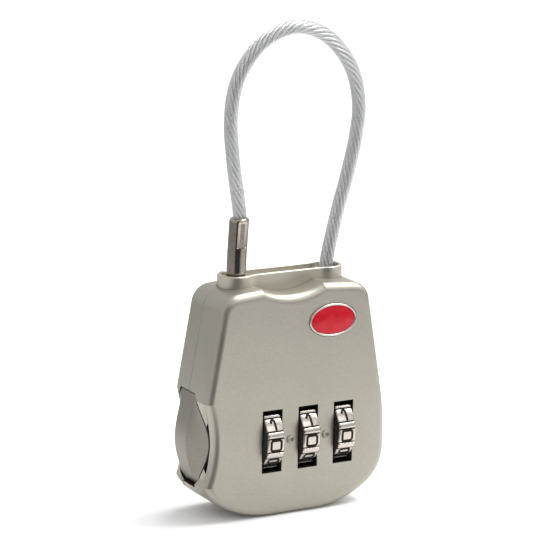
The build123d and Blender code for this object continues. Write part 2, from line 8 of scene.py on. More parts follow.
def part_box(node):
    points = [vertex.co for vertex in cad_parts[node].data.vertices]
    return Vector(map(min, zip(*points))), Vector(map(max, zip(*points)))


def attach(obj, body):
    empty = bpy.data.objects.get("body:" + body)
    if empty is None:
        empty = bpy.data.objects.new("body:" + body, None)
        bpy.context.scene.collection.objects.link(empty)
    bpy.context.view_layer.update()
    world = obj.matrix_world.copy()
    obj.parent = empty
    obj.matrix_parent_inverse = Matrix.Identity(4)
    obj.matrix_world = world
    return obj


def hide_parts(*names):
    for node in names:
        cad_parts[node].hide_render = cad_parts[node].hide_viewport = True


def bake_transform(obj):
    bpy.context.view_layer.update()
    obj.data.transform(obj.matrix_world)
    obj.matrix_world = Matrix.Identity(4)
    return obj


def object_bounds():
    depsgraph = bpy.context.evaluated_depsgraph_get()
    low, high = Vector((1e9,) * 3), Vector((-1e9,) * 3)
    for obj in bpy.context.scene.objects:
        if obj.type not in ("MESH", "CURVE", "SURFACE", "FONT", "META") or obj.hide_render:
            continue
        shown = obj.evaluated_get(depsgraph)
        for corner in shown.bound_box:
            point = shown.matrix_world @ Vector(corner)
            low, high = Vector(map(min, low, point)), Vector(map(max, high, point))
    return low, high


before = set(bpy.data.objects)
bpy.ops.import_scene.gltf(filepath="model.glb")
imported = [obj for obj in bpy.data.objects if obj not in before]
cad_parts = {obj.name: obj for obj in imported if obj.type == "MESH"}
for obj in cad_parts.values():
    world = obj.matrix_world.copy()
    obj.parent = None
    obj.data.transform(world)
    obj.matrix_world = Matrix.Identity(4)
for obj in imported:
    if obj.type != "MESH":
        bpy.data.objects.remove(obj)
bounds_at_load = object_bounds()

MM = 0.001

# Camera: a long lens in front of the lock, to its left and a little above it
CAMERA_TURN = math.radians(29.5)
CAMERA_TILT = math.radians(14.9)
CAMERA_ROLL = math.radians(1.1)
CAMERA_DISTANCE = 435 * MM
CAMERA_TARGET = Vector((0, 0, 25 * MM))
LENS_MM = 180
SENSOR_MM = 36
AIM_ABOVE_TARGET = math.radians(1.583)
AIM_LEFT_OF_TARGET = math.radians(0.045)

# Studio: how bright the room is in reflections, which way its dark side lies (a turn from -Y towards
# -X), and how squarely a direction faces that side where the dark starts and where it is full
ROOM_LIGHT = 0.82
ROOM_DARK = 0.04
DARK_TURN = math.radians(18)
DARK_FROM = 0.74
DARK_TO = 0.90

# Paper floor: painted shade, seen only in reflections, darkens it between these distances from the lock's
# foot
PAPER_NEAR = 70 * MM
PAPER_FAR = 190 * MM
PAPER_REFLECTED_SHADE = 0.65

# Softboxes, in metres and watts: name, place, target, size, power
SOFTBOXES = [
    ("key", (0.30, -0.08, 0.46), (0.05, -0.02, 0.03), (0.34, 0.50), 2.1),
    ("front", (0.12, -0.50, 0.34), (0, 0, 0.03), (0.40, 0.16), 0.35),
    ("rim", (0.26, 0.04, 0.50), (0, 0, 0.03), (0.45, 0.10), 2.0),
]

# Materials: noise scales count features per metre
NOISE_MIDDLE = (0.3, 0.7)
FINE_DETAIL = 2.0
HANDLING_MARKS = 160
HANDLING_DETAIL = 4.0
# Colour of the painted shade in narrow gaps
GAP_SHADE = (0.01, 0.008, 0.006)

# All lengths from here to the functions are in millimetres. Floor: half its side, and how far below
# the lock's foot it lies
PAPER_HALF = 3000
PAPER_GAP = 0.02

# Cable
CABLE_GUIDE = [
    (8.5, 27.5), (8.5, 33.0), (8.6, 38.5), (10.35, 46.4), (12.15, 52.8), (13.55, 58.9), (13.9, 63.5),
    (12.9, 68.3), (10.6, 72.1), (7.2, 75.1), (2.7, 76.45), (-1.6, 75.5), (-5.2, 72.9), (-8.0, 68.4),
    (-8.95, 62.6), (-8.35, 55.6), (-7.15, 47.4), (-7.5, 42.0),
]
JACKET_R = 1.1
JACKET_SIDES = 32
JACKET_STEP = 0.5
ROPE_STEP = 0.28
STRANDS = 7
STRAND_R = 0.27
STRAND_ORBIT = 0.57
WIRES = 6
WIRE_SIDES = 4
WIRE_DEPTH = 0.2
ROPE_LAY = 10.5
STRAND_LAY = 4.2

# Plug: it leans from this height up, and its crimp is two flats pressed into its upper part
PLUG_LEAN = math.tan(math.radians(3.2))
LEAN_FROM_Z = 38.0
PLUG_SIDES = 96
TIP_ROUND = [(0.4, 0.0), (0.1, 0.25), (0.0, 0.45)]
LATCH_GROOVE = (2.4, 4.7)
LATCH_GROOVE_R = 0.9
LATCH_EDGE = 0.1
SHANK_RING = 2.0
CRIMP_HALF = 1.27
CRIMP_DROP = 4.6
CRIMP_TOP_DROP = 0.45
CRIMP_STEP = 0.08
CRIMP_MARGIN = 0.04
RIM_ROUND = [(0.0, 0.75), (0.0, 0.35), (0.06, 0.15), (0.2, 0.02), (0.3, 0.0)]
MOUTH = [(1.16, 0.0), (1.1, 0.1), (1.1, 0.9)]

# Dials: digits are counted upwards from the one that faces the front. A bar stands between two
# digits, in a groove. Each of its outlines is a list of (arc beyond the half width, depth) pairs:
# the groove and the bar's foot lie below the digits' field, and the crown lies below the bar's top
DIGITS = 10
DIAL_TURN = math.radians(-3.5)
BASE_DROP = 0.16
FIELD_STEPS = 4
FIELD_MARGIN = 0.1
GROOVE_HALF = 0.66
GROOVE_DEPTH = 0.2
GROOVE_WALL = [(0.05, 0.0), (0.0, 0.04), (-0.04, GROOVE_DEPTH)]
BAR_HALF = 0.48
BAR_FOOT = [(0.04, GROOVE_DEPTH), (0.0, 0.02)]
BAR_CROWN = [(-0.02, 0.08), (-0.06, 0.03), (-0.13, 0.0)]
BAR_BULGE = 0.02
DIAL_EDGE = [(0.0, 0.22), (0.06, 0.08), (0.16, 0.01), (0.3, 0.0)]
BORE_R = 1.7
# Painted shade on the dials: faces that face sideways more than this, and groove faces more than this depth
# below the digits' field and more than this inset from the dial's sides
SIDE_FACING = 0.9
DARK_GROOVE_DEPTH = 0.03
DARK_GROOVE_INSET = 0.2

# Numerals: strokes in a box of this half width and half height, with rounded corners
CORNER_STEPS = 6
STROKE_STEP = 0.08
STROKE_CLOSED = 0.01
INK_WIDTH = 0.40
INK_HEIGHT = 0.02
INK_SECTION = [(-1, -0.06), (-1, 0.4), (-0.8, 1), (0.8, 1), (1, 0.4), (1, -0.06)]
GLYPH_W = 0.89
GLYPH_H = 0.84
GLYPH_ROUND = 0.42
W, H = GLYPH_W, GLYPH_H
GLYPHS = {
    0: [[(0, H), (-W, H), (-W, -H), (W, -H), (W, H), (0, H)]],
    1: [[(-0.55, 0.25), (-0.35, H), (0.1, H), (0.2, -0.95)]],
    2: [[(-W, H), (W, H), (W, 0), (-W, 0), (-W, -H), (W, -H)]],
    3: [[(-W, H), (W, H), (W, -H), (-W, -H)], [(-0.3, 0), (W, 0)]],
    4: [[(-W, H), (-W, -0.1), (W, -0.1)], [(0.45, H), (0.45, -H)]],
    5: [[(W, H), (-W, H), (-W, 0.05), (W, 0.05), (W, -H), (-W, -H)]],
    6: [[(W, H), (-W, H), (-W, -H), (W, -H), (W, 0), (-W, 0)]],
    7: [[(-W, H), (W, H), (-0.1, -H)]],
    8: [[(0, H), (-W, H), (-W, -H), (W, -H), (W, H), (0, H)], [(-W, 0), (W, 0)]],
    9: [[(-W, -H), (W, -H), (W, H), (-W, H), (-W, 0), (W, 0)]],
}

# Enamel inlay: (inset, rise above the plate) pairs over its rim, then the dome inside the rim
OVAL_SIDES = 96
RIM_PROFILE = [(0.02, -0.05), (0.1, 0.1), (0.22, 0.14), (0.34, 0.1), (0.42, -0.05)]
DOME_INSET = 0.43
DOME_CENTRE_R = 0.17
DOME_EDGE = 0.02
DOME_RISE = 0.24
DOME_STEPS = 12

# Ejector spring
COIL_WIRE_R = 0.2
COIL_TURNS = 8
COIL_STEPS = 24
COIL_SIDES = 10

# Shading of hidden faces: how far off a face the test starts, and how near its corners it goes
PROBE_LIFT = 0.02
PROBE_SPREAD = 0.8


# ---- Mesh helpers (all in millimetres) ----

def add_piece(name, points, faces, material, sharp=35):
    """A mesh object from points in millimetres, smooth except at edges sharper than this."""
    mesh = bpy.data.meshes.new(name)
    mesh.from_pydata([tuple(c * MM for c in p) for p in points], [], faces)
    mesh.polygons.foreach_set("use_smooth", [True] * len(mesh.polygons))
    mesh.set_sharp_from_angle(angle=math.radians(sharp))
    mesh.materials.append(material)
    piece = bpy.data.objects.new(name, mesh)
    bpy.context.scene.collection.objects.link(piece)
    return piece


def loft_rings(rings, cap_start=True, cap_end=True):
    """Points and faces of a skin over closed rings that all have the same number of points."""
    count = len(rings[0])
    points = [p for ring in rings for p in ring]
    faces = []
    for row in range(len(rings) - 1):
        for i in range(count):
            j = (i + 1) % count
            a = row * count
            faces.append((a + i, a + j, a + count + j, a + count + i))
    if cap_start:
        faces.append(tuple(range(count))[::-1])
    if cap_end:
        last = (len(rings) - 1) * count
        faces.append(tuple(range(last, last + count)))
    return points, faces


def join_parts(parts):
    """One set of points and faces from several."""
    points = []
    faces = []
    for some_points, some_faces in parts:
        shift = len(points)
        points += some_points
        faces += [tuple(i + shift for i in face) for face in some_faces]
    return points, faces


def smooth_path(guide, step):
    """A Catmull-Rom curve through guide points in the x-z plane, at about this spacing."""
    ends = [(2 * guide[0][0] - guide[1][0], 2 * guide[0][1] - guide[1][1])]
    ends.append((2 * guide[-1][0] - guide[-2][0], 2 * guide[-1][1] - guide[-2][1]))
    nodes = [ends[0]] + list(guide) + [ends[1]]
    path = []
    for i in range(1, len(nodes) - 2):
        p0, p1, p2, p3 = [Vector(n) for n in nodes[i - 1:i + 3]]
        count = max(2, round((p2 - p1).length / step))
        for k in range(count):
            t = k / count
            path.append(0.5 * (2 * p1 + (p2 - p0) * t + (2 * p0 - 5 * p1 + 4 * p2 - p3) * t**2
                               + (3 * p1 - p0 - 3 * p2 + p3) * t**3))
    path.append(Vector(nodes[-2]))
    return path


def path_frames(path):
    """For each path point: its place, the sideways direction in the x-z plane, and the length so far."""
    frames = []
    length = 0.0
    for i, point in enumerate(path):
        before = path[max(i - 1, 0)]
        after = path[min(i + 1, len(path) - 1)]
        along = (after - before).normalized()
        if i:
            length += (point - path[i - 1]).length
        frames.append((point, Vector((along.y, -along.x)), length))
    return frames


def ring_at(place, side, offsets):
    """A ring of points from (sideways, depth) offsets about a path point."""
    return [(place.x + side.x * u, v, place.y + side.y * u) for u, v in offsets]


# ---- Materials ----


def new_material(name):
    """An empty node material with its shader and its output."""
    material = bpy.data.materials.new(name)
    material.use_nodes = True
    nodes = material.node_tree.nodes
    return material, nodes, material.node_tree.links, nodes["Principled BSDF"]


def noise(nodes, links, scale, detail=3.0, stretch=(1, 1, 1)):
    """A noise texture in the object's own coordinates; its scale counts features per metre."""
    place = nodes.new("ShaderNodeTexCoord")
    mapping = nodes.new("ShaderNodeMapping")
    mapping.inputs["Scale"].default_value = stretch
    texture = nodes.new("ShaderNodeTexNoise")
    texture.inputs["Scale"].default_value = scale
    texture.inputs["Detail"].default_value = detail
    links.new(place.outputs["Object"], mapping.inputs["Vector"])
    links.new(mapping.outputs["Vector"], texture.inputs["Vector"])
    return texture


def map_range(nodes, links, value, source_range, result_range=(0.0, 1.0), curve="LINEAR"):
    """The value stretched from one range to another, and held at its ends."""
    ranged = nodes.new("ShaderNodeMapRange")
    ranged.interpolation_type = curve
    ranged.inputs["From Min"].default_value, ranged.inputs["From Max"].default_value = source_range
    ranged.inputs["To Min"].default_value, ranged.inputs["To Max"].default_value = result_range
    links.new(value, ranged.inputs["Value"])
    return ranged.outputs["Result"]


def remap(nodes, links, source, low, high):
    """The middle range of a noise texture stretched to run from low to high."""
    return map_range(nodes, links, source.outputs["Fac"], NOISE_MIDDLE, (low, high))


def mix_colours(nodes, links, factor, first, second):
    """A mix of two colours, each of which is a tone or a socket."""
    mix = nodes.new("ShaderNodeMix")
    mix.data_type = "RGBA"
    links.new(factor, mix.inputs["Factor"])
    for name, colour in (("A", first), ("B", second)):
        if isinstance(colour, tuple):
            mix.inputs[name].default_value = (*colour, 1)
        else:
            links.new(colour, mix.inputs[name])
    return mix.outputs["Result"]


def tint(nodes, links, source, dark, light):
    """A colour that moves between two tones with the source."""
    return mix_colours(nodes, links, remap(nodes, links, source, 0, 1), dark, light)


def bump(nodes, links, source, shader, depth_mm):
    """Small relief from the source on the shader's normal."""
    relief = nodes.new("ShaderNodeBump")
    relief.inputs["Distance"].default_value = depth_mm * MM
    relief.inputs["Strength"].default_value = 1.0
    links.new(source.outputs["Fac"], relief.inputs["Height"])
    links.new(relief.outputs["Normal"], shader.inputs["Normal"])


def grained_metal(name, dark, light, roughness, grain, depth_mm, metallic=1.0, stretch=(1, 1, 1)):
    """Metal with fine grain in its colour and relief, and broader handling marks in its sheen."""
    material, nodes, links, shader = new_material(name)
    shader.inputs["Metallic"].default_value = metallic
    fine = noise(nodes, links, grain, FINE_DETAIL, stretch)
    broad = noise(nodes, links, HANDLING_MARKS, HANDLING_DETAIL)
    links.new(tint(nodes, links, fine, dark, light), shader.inputs["Base Color"])
    links.new(remap(nodes, links, broad, *roughness), shader.inputs["Roughness"])
    bump(nodes, links, fine, shader, depth_mm)
    return material


def shade_gaps(material, reach_mm, open_range):
    """Paints shade into the material's colour where things near it hide its surroundings, as in a narrow gap.
    """
    nodes = material.node_tree.nodes
    links = material.node_tree.links
    base = nodes["Principled BSDF"].inputs["Base Color"]
    sky = nodes.new("ShaderNodeAmbientOcclusion")
    sky.inputs["Distance"].default_value = reach_mm * MM
    clear = map_range(nodes, links, sky.outputs["AO"], open_range)
    links.new(mix_colours(nodes, links, clear, GAP_SHADE, base.links[0].from_socket), base)
    return material


def satin_nickel():
    return grained_metal("satin_nickel", dark=(0.335, 0.315, 0.27), light=(0.405, 0.385, 0.33),
                         roughness=(0.37, 0.44), grain=9000, depth_mm=0.006, metallic=0.9)


def collar_nickel_painted_light():
    # Painted light: the shells' satin nickel made lighter, for the light the neck's front picks up from the
    # lit top edge of the body
    return grained_metal("collar_nickel_painted_light", dark=(0.48, 0.45, 0.39), light=(0.56, 0.53, 0.46),
                         roughness=(0.34, 0.42), grain=9000, depth_mm=0.006, metallic=0.9)


def button_nickel():
    # Painted shade: a darker tone than the shells' satin nickel, for the shade on the button's side and
    # chamfer, and an ambient-occlusion node darkens it further in its gaps
    metal = grained_metal("button_nickel", dark=(0.21, 0.195, 0.17), light=(0.27, 0.25, 0.22),
                          roughness=(0.40, 0.48), grain=9000, depth_mm=0.006, metallic=0.9)
    return shade_gaps(metal, reach_mm=3.0, open_range=(0.2, 0.8))


def bright_nickel():
    return grained_metal("bright_nickel", dark=(0.50, 0.46, 0.42), light=(0.58, 0.53, 0.48),
                         roughness=(0.14, 0.22), grain=2500, depth_mm=0.003)


def plug_nickel():
    return grained_metal("plug_nickel", dark=(0.32, 0.285, 0.25), light=(0.40, 0.355, 0.315),
                         roughness=(0.12, 0.20), grain=2500, depth_mm=0.003)


def dial_metal():
    metal = grained_metal("dial_metal", dark=(0.45, 0.41, 0.37), light=(0.53, 0.485, 0.44),
                          roughness=(0.18, 0.26), grain=3000, depth_mm=0.001)
    # Painted shade: an ambient-occlusion node darkens the dials' colour where the windows' edges hide them
    return shade_gaps(metal, reach_mm=4.0, open_range=(0.62, 0.9))


def plated_steel():
    return grained_metal("plated_steel", dark=(0.50, 0.50, 0.50), light=(0.60, 0.60, 0.59),
                         roughness=(0.28, 0.38), grain=5000, depth_mm=0.004)


def spring_steel():
    return grained_metal("spring_steel", dark=(0.32, 0.32, 0.33), light=(0.42, 0.42, 0.43),
                         roughness=(0.22, 0.32), grain=6000, depth_mm=0.003)


def blued_steel():
    return grained_metal("blued_steel", dark=(0.015, 0.015, 0.02), light=(0.03, 0.03, 0.04),
                         roughness=(0.4, 0.5), grain=6000, depth_mm=0.003)


def machined_brass():
    return grained_metal("machined_brass", dark=(0.60, 0.42, 0.18), light=(0.70, 0.50, 0.24),
                         roughness=(0.24, 0.34), grain=4000, depth_mm=0.003, stretch=(1, 0.1, 1))


def rope_steel():
    return grained_metal("rope_steel", dark=(0.62, 0.62, 0.62), light=(0.82, 0.82, 0.82),
                         roughness=(0.25, 0.40), grain=4000, depth_mm=0.004, metallic=0.85)


def painted_shade_metal():
    """Painted shade: unlit, near-black metal for the shells' inside, and the dials' sides and grooves."""
    return grained_metal("painted_shade_metal", dark=(0.012, 0.010, 0.008), light=(0.03, 0.025, 0.02),
                         roughness=(0.55, 0.65), grain=5000, depth_mm=0.01, metallic=0.3)


def dial_ink():
    """Matt black paint in the numerals."""
    material, nodes, links, shader = new_material("dial_ink")
    fine = noise(nodes, links, 6000)
    colour = tint(nodes, links, fine, dark=(0.010, 0.007, 0.005), light=(0.018, 0.014, 0.011))
    links.new(colour, shader.inputs["Base Color"])
    links.new(remap(nodes, links, fine, 0.6, 0.8), shader.inputs["Roughness"])
    shader.inputs["Specular IOR Level"].default_value = 0.15
    bump(nodes, links, fine, shader, 0.004)
    return material


def red_enamel():
    """Glossy red enamel with a slight cloudiness."""
    material, nodes, links, shader = new_material("red_enamel")
    cloud = noise(nodes, links, 700)
    colour = tint(nodes, links, cloud, dark=(0.34, 0.003, 0.010), light=(0.46, 0.005, 0.018))
    links.new(colour, shader.inputs["Base Color"])
    links.new(remap(nodes, links, cloud, 0.12, 0.2), shader.inputs["Roughness"])
    shader.inputs["Specular IOR Level"].default_value = 0.2
    shader.inputs["Coat Weight"].default_value = 0.15
    shader.inputs["Coat Roughness"].default_value = 0.05
    bump(nodes, links, cloud, shader, 0.01)
    return material


def clear_pvc():
    """Clear soft plastic: mostly see-through, with a faint haze and a gloss that varies along it."""
    material, nodes, links, shader = new_material("clear_pvc")
    haze = noise(nodes, links, 900)
    colour = tint(nodes, links, haze, dark=(0.90, 0.91, 0.92), light=(0.97, 0.98, 0.98))
    links.new(colour, shader.inputs["Base Color"])
    links.new(remap(nodes, links, haze, 0.10, 0.22), shader.inputs["Roughness"])
    shader.inputs["IOR"].default_value = 1.45
    shader.inputs["Transmission Weight"].default_value = 0.92
    bump(nodes, links, haze, shader, 0.008)
    return material


# ---- Pieces ----

def steel_rope(material):
    """Twisted strands along the whole cable; each strand's section shows its wires."""
    frames = path_frames(smooth_path(CABLE_GUIDE, ROPE_STEP))
    parts = []
    for strand in range(STRANDS):
        rings = []
        for place, side, length in frames:
            turn = 2 * math.pi * (strand / STRANDS - length / ROPE_LAY)
            twist = 2 * math.pi * length / STRAND_LAY
            rings.append(ring_at(place, side, strand_section(turn, twist)))
        parts.append(loft_rings(rings))
    return add_piece("cable_rope", *join_parts(parts), material, sharp=60)


def strand_section(turn, twist):
    """One strand's outline, at its turn round the rope, with a lobe for each of its wires."""
    offsets = []
    for angle in turn_angles(WIRE_SIDES * WIRES):
        lobes = abs(math.cos(WIRES * (angle - twist) / 2))
        radius = STRAND_R * (1 - WIRE_DEPTH * (1 - lobes))
        across = STRAND_ORBIT * math.cos(turn) + radius * math.cos(angle)
        deep = STRAND_ORBIT * math.sin(turn) + radius * math.sin(angle)
        offsets.append((across, deep))
    return offsets


def cable_jacket(material):
    """The clear jacket round the rope, cut square at both ends."""
    offsets = [(JACKET_R * math.cos(a), JACKET_R * math.sin(a)) for a in turn_angles(JACKET_SIDES)]
    frames = path_frames(smooth_path(CABLE_GUIDE, JACKET_STEP))
    rings = [ring_at(place, side, offsets) for place, side, length in frames]
    return add_piece("cable_jacket", *loft_rings(rings), material, sharp=60)


def turn_angles(count):
    """Evenly spaced angles round one turn."""
    return [2 * math.pi * k / count for k in range(count)]


def plug_profile(low, high, radius):
    """Radius and height pairs up the plug: tip, latch groove, shank, crimp, rim and mouth."""
    groove_low, groove_high = [low + height for height in LATCH_GROOVE]
    crimp_low = high - CRIMP_DROP
    edge_r = radius - LATCH_EDGE
    profile = [(0.0, low)]
    profile += [(radius - inset, low + height) for inset, height in TIP_ROUND]
    profile += [(radius, groove_low - LATCH_EDGE), (edge_r, groove_low), (LATCH_GROOVE_R, groove_low)]
    profile += [(LATCH_GROOVE_R, groove_high), (edge_r, groove_high), (radius, groove_high + LATCH_EDGE)]
    profile += [(radius, crimp_low + rise) for rise in (-SHANK_RING, 0, CRIMP_STEP)]
    profile += [(radius - inset, high - drop) for inset, drop in RIM_ROUND]
    profile += [(mouth_r, high - drop) for mouth_r, drop in MOUTH]
    return profile


def plug_ferrule(material):
    """The plug: a turned rod, pressed flat at the front and back where it grips the cable."""
    low, high = [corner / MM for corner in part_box("plug_ferrule")]
    centre = (low + high) / 2
    crimp_low = high.z - CRIMP_DROP + CRIMP_MARGIN
    crimp_high = high.z - CRIMP_TOP_DROP
    rings = []
    for r, z in plug_profile(low.z, high.z, (high.x - low.x) / 2):
        lean = PLUG_LEAN * max(0.0, z - LEAN_FROM_Z)
        pressed = crimp_low < z < crimp_high and r > CRIMP_HALF
        half_depth = CRIMP_HALF if pressed else r
        ring = []
        for angle in turn_angles(PLUG_SIDES):
            y = max(-half_depth, min(half_depth, r * math.sin(angle)))
            ring.append((centre.x + lean + r * math.cos(angle), y, z))
        rings.append(ring)
    return add_piece("plug", *loft_rings(rings), material, sharp=30)


def bar_profile(outer):
    """Arc and radius pairs across one bar and its groove, about the bar's middle."""
    base = outer - BASE_DROP
    side = [(GROOVE_HALF + arc, base - depth) for arc, depth in GROOVE_WALL]
    side += [(BAR_HALF + arc, base - depth) for arc, depth in BAR_FOOT]
    side += [(BAR_HALF + arc, outer - depth) for arc, depth in BAR_CROWN]
    mirrored = [(-arc, r) for arc, r in side]
    return mirrored + [(0, outer + BAR_BULGE)] + side[::-1]


def dial_profile(outer):
    """Angle and radius pairs round one dial: a smooth field for each digit, then a bar in its grooves."""
    cell = 2 * math.pi / DIGITS
    field_half = cell / 2 - (GROOVE_HALF + FIELD_MARGIN) / outer
    profile = []
    for step in range(DIGITS):
        middle = step * cell
        for k in range(-FIELD_STEPS, FIELD_STEPS + 1):
            profile.append((middle + k * field_half / FIELD_STEPS, outer - BASE_DROP))
        profile += [(middle + cell / 2 + arc / outer, r) for arc, r in bar_profile(outer)]
    return profile


def on_dial(centre, x, angle, radius):
    """A point on a dial; angle 0 faces the front and grows upwards."""
    return (centre.x + x, centre.y - radius * math.cos(angle), centre.z + radius * math.sin(angle))


def dial_ring(name, material, dark_material):
    """One dial wheel with rounded edges and raised bars between its digits."""
    low, high = [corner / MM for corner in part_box(name)]
    centre = (low + high) / 2
    half = (high.x - low.x) / 2
    outer = (high.z - low.z) / 2
    profile = dial_profile(outer)
    bore = [(angle, BORE_R) for angle, r in profile]
    sections = [(-half, bore)]
    sections += [(inset - half, [(angle, r - drop) for angle, r in profile]) for inset, drop in DIAL_EDGE]
    sections += [(-x, outline) for x, outline in reversed(sections)]
    rings = []
    for x, outline in sections:
        rings.append([on_dial(centre, x, angle + DIAL_TURN, radius) for angle, radius in outline])
    wheel = add_piece(name + "_wheel", *loft_rings(rings + [rings[0]], False, False), material, sharp=40)
    # Painted shade on the wheel's sides and grooves
    darken_dial(wheel, centre, half - DARK_GROOVE_INSET, outer - BASE_DROP - DARK_GROOVE_DEPTH, dark_material)
    return wheel


def darken_dial(wheel, centre, reach, depth, material):
    """Paints shade on a dial's sides, and its grooves: whatever lies below this depth, to this reach in x."""
    wheel.data.materials.append(material)
    for face in wheel.data.polygons:
        place = face.center / MM - centre
        in_groove = math.hypot(place.y, place.z) < depth and abs(place.x) < reach
        if in_groove or abs(face.normal.x) > SIDE_FACING:
            face.material_index = 1


def rounded_stroke(corners):
    """Closely spaced points along a stroke whose corners are rounded off."""
    points = [Vector(corners[0])]
    for i in range(1, len(corners) - 1):
        before, here, after = [Vector(c) for c in corners[i - 1:i + 2]]
        reach = min(GLYPH_ROUND, (here - before).length / 2, (after - here).length / 2)
        start = here + (before - here).normalized() * reach
        end = here + (after - here).normalized() * reach
        for k in range(CORNER_STEPS + 1):
            t = k / CORNER_STEPS
            points.append(start * (1 - t)**2 + here * 2 * t * (1 - t) + end * t**2)
    points.append(Vector(corners[-1]))
    dense = []
    for a, b in zip(points, points[1:]):
        count = max(1, round((b - a).length / STROKE_STEP))
        dense += [a.lerp(b, k / count) for k in range(count)]
    return dense + [points[-1]]


def ink_stroke(centre, radius, digit_angle, corners):
    """One painted stroke, laid on the dial's round surface."""
    path = rounded_stroke(corners)
    closed = (path[0] - path[-1]).length < STROKE_CLOSED
    befores = [path[-2] if closed else path[0]] + path[:-1]
    afters = path[1:] + [path[1] if closed else path[-1]]
    rings = []
    for before, point, after in zip(befores, path, afters):
        along = (after - before).normalized()
        side = Vector((along.y, -along.x)) * INK_WIDTH / 2
        ring = []
        for across, lift in INK_SECTION:
            spot = point + side * across
            angle = digit_angle + spot.y / radius
            ring.append(on_dial(centre, spot.x, angle, radius + lift * INK_HEIGHT))
        rings.append(ring)
    return loft_rings(rings, not closed, not closed)


def dial_digits(name, material):
    """The ten numerals of one dial."""
    low, high = [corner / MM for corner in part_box(name)]
    centre = (low + high) / 2
    radius = (high.z - low.z) / 2 - BASE_DROP
    strokes = []
    for digit, glyph in GLYPHS.items():
        angle = DIAL_TURN + digit * 2 * math.pi / DIGITS
        strokes += [ink_stroke(centre, radius, angle, corners) for corners in glyph]
    return add_piece(name + "_digits", *join_parts(strokes), material, sharp=60)


def oval_rings(centre, rx, rz, profile):
    """Rings of an oval turned part: profile pairs are (inset from the edge, y)."""
    rings = []
    for inset, y in profile:
        rings.append([(centre.x + (rx - inset) * math.cos(a), y, centre.z + (rz - inset) * math.sin(a))
                      for a in turn_angles(OVAL_SIDES)])
    return rings


def enamel_face(rim_material, face_material):
    """A plain domed enamel oval in a thin bright rim."""
    low, high = [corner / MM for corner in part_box("enamel_inlay")]
    centre = (low + high) / 2
    rx = (high.x - low.x) / 2
    rz = (high.z - low.z) / 2
    front, back = low.y, high.y

    profile = [(RIM_PROFILE[0][0], back)]
    profile += [(inset, front - rise) for inset, rise in RIM_PROFILE]
    profile += [(RIM_PROFILE[-1][0], back)]
    rings = oval_rings(centre, rx, rz, profile)
    rim = add_piece("inlay_rim", *loft_rings(rings + [rings[0]], False, False), rim_material, sharp=50)

    profile = [(DOME_INSET, back - DOME_EDGE)]
    width = rz - DOME_CENTRE_R - DOME_INSET
    for k in range(DOME_STEPS + 1):
        share = k / DOME_STEPS
        rise = DOME_EDGE + DOME_RISE * math.sin(math.pi / 2 * share)
        profile.append((DOME_INSET + width * share, front - rise))
    rings = oval_rings(centre, rx, rz, profile)
    face = add_piece("inlay_enamel", *loft_rings(rings), face_material, sharp=50)
    return rim, face


def ejector_coil(material):
    """The ejector spring as a fine coil."""
    low, high = [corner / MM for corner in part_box("ejector_spring")]
    centre = (low + high) / 2
    orbit = (high.x - low.x) / 2 - COIL_WIRE_R
    rise = high.z - low.z - 2 * COIL_WIRE_R
    rings = []
    for k in range(COIL_TURNS * COIL_STEPS + 1):
        share = k / (COIL_TURNS * COIL_STEPS)
        angle = 2 * math.pi * COIL_TURNS * share
        out = Vector((math.cos(angle), math.sin(angle), 0))
        place = Vector((centre.x, centre.y, low.z + COIL_WIRE_R + rise * share)) + out * orbit
        ring = []
        for a in turn_angles(COIL_SIDES):
            ring.append(tuple(place + COIL_WIRE_R * (out * math.cos(a) + Vector((0, 0, math.sin(a))))))
        rings.append(ring)
    return add_piece("ejector_coil", *loft_rings(rings), material, sharp=60)


# ---- The whole lock ----

def paint(nodes, material):
    """Gives CAD nodes one material."""
    for node in nodes:
        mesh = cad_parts[node].data
        mesh.materials.clear()
        mesh.materials.append(material)


def darken_inside(nodes, material):
    """Adds a second material, painted shade, on the faces that look at another face of these nodes."""
    parts = []
    for node in nodes:
        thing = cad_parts[node]
        points = [tuple(thing.matrix_world @ v.co) for v in thing.data.vertices]
        parts.append((points, [tuple(face.vertices) for face in thing.data.polygons]))
    shells = BVHTree.FromPolygons(*join_parts(parts))
    for node in nodes:
        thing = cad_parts[node]
        turn = thing.matrix_world.to_3x3()
        thing.data.materials.append(material)
        for face in thing.data.polygons:
            normal = (turn @ face.normal).normalized()
            centre = thing.matrix_world @ face.center
            corners = [thing.matrix_world @ thing.data.vertices[i].co for i in face.vertices]
            spots = [centre] + [centre.lerp(corner, PROBE_SPREAD) for corner in corners]
            hits = [shells.ray_cast(spot + normal * PROBE_LIFT * MM, normal)[0] for spot in spots]
            if any(hit is not None for hit in hits):
                face.material_index = 1


def paint_cad(nickel, spring, inside):
    """Gives every CAD node that stays in sight its material."""
    steel = plated_steel()
    brass = machined_brass()
    paint(["front_housing", "rear_housing"], satin_nickel())
    # Painted shade on the shells' faces that look into the housing
    darken_inside(["front_housing", "rear_housing"], inside)
    # The neck collar gets a lighter copy of the nickel as painted light
    paint(["neck_collar"], collar_nickel_painted_light())
    paint(["release_button"], button_nickel())
    paint(["latch_slide", "ejector_cup", "dial_spindle", "key_cam", "reset_plunger", "housing_rivets"], steel)
    paint(["button_spring", "key_clip"], spring)
    paint(["detent_spring"], blued_steel())
    paint(["sleeve_left", "sleeve_centre", "sleeve_right", "key_barrel", "key_plug", "key_wafers"], brass)
    paint(["anchor_ferrule"], nickel)


def add_cable():
    """The rope and its jacket, each one piece that bends between the housing and the plug."""
    rope = steel_rope(rope_steel())
    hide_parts("cable_rope_fixed", "cable_rope_free")
    jacket = cable_jacket(clear_pvc())
    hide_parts("cable_jacket_fixed", "cable_jacket_free")
    for piece in (rope, jacket):
        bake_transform(piece)


def add_plug():
    plug = plug_ferrule(plug_nickel())
    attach(plug, "plug")
    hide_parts("plug_ferrule")


